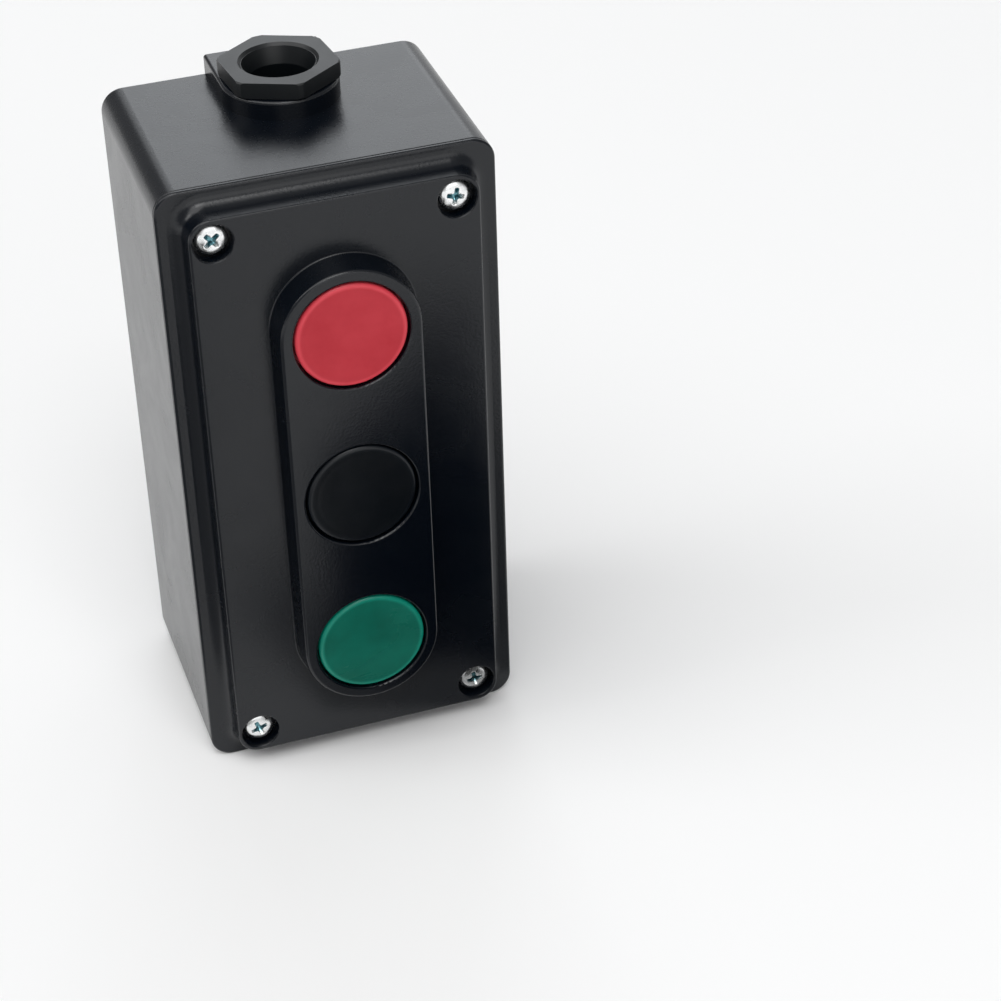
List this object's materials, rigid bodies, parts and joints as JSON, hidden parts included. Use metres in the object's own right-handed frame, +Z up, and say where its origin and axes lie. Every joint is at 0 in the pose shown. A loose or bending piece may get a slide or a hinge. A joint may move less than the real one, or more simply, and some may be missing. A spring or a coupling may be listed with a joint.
{
  "type": "pushbutton box",
  "caption": "Surface-mounted control box with flush pushbuttons on a raised boss, a screwed cover with gasket and a cable gland on its top end.",
  "frame": {"origin": "middle of the box's depth and width at the bottom end it stands on", "axes": "+Z up along the length to the end with the cable gland, the buttons face -Y, the back that goes against a wall faces +Y, +X to the right seen from the front"},
  "size_m": [0.0726, 0.0644, 0.1544],
  "materials": {
    "housing_plastic": "satin moulded, black",
    "red_cap": "smooth moulded, red",
    "black_cap": "smooth moulded, black",
    "green_cap": "smooth moulded, green",
    "rubber": "soft, black",
    "zinc": "bright zinc plated",
    "steel": "spring steel",
    "brass": "plain brass",
    "plunger_plastic": "moulded, dark grey",
    "block_plastic": "moulded, dark brown"
  },
  "bodies": {
    "box": {"housing": "housing_plastic", "threaded_inserts": "brass", "cover_gasket": "rubber", "cover": "housing_plastic", "cover_screws": "zinc", "gland_seal_ring": "rubber", "gland_washer": "steel", "gland_nut": "housing_plastic", "red_button_seal": "rubber", "red_return_spring": "steel", "red_contact_block": "block_plastic", "red_fixed_contacts": "brass", "red_terminal_clamps": "zinc", "red_terminal_screws": "zinc", "red_block_screws": "zinc", "black_button_seal": "rubber", "black_return_spring": "steel", "black_contact_block": "block_plastic", "black_fixed_contacts": "brass", "black_terminal_clamps": "zinc", "black_terminal_screws": "zinc", "black_block_screws": "zinc", "green_button_seal": "rubber", "green_return_spring": "steel", "green_contact_block": "block_plastic", "green_fixed_contacts": "brass", "green_terminal_clamps": "zinc", "green_terminal_screws": "zinc", "green_block_screws": "zinc"},
    "red_button": {"red_button_cap": "red_cap", "red_plunger": "plunger_plastic", "red_contact_bridge": "brass", "red_contact_spring": "steel"},
    "black_button": {"black_button_cap": "black_cap", "black_plunger": "plunger_plastic", "black_contact_bridge": "brass", "black_contact_spring": "steel"},
    "green_button": {"green_button_cap": "green_cap", "green_plunger": "plunger_plastic", "green_contact_bridge": "brass", "green_contact_spring": "steel"}
  },
  "joints": [
    {"name": "red_button_press", "type": "slide", "parent": "box", "child": "red_button", "axis": [0, 1, 0], "range_m": [0, 0.0045], "stiffness_N_per_m": 500, "springref_m": -0.006, "deforming": ["red_return_spring"]},
    {"name": "black_button_press", "type": "slide", "parent": "box", "child": "black_button", "axis": [0, 1, 0], "range_m": [0, 0.0045], "stiffness_N_per_m": 500, "springref_m": -0.006, "deforming": ["black_return_spring"]},
    {"name": "green_button_press", "type": "slide", "parent": "box", "child": "green_button", "axis": [0, 1, 0], "range_m": [0, 0.0045], "stiffness_N_per_m": 500, "springref_m": -0.006, "deforming": ["green_return_spring"]}
  ]
}
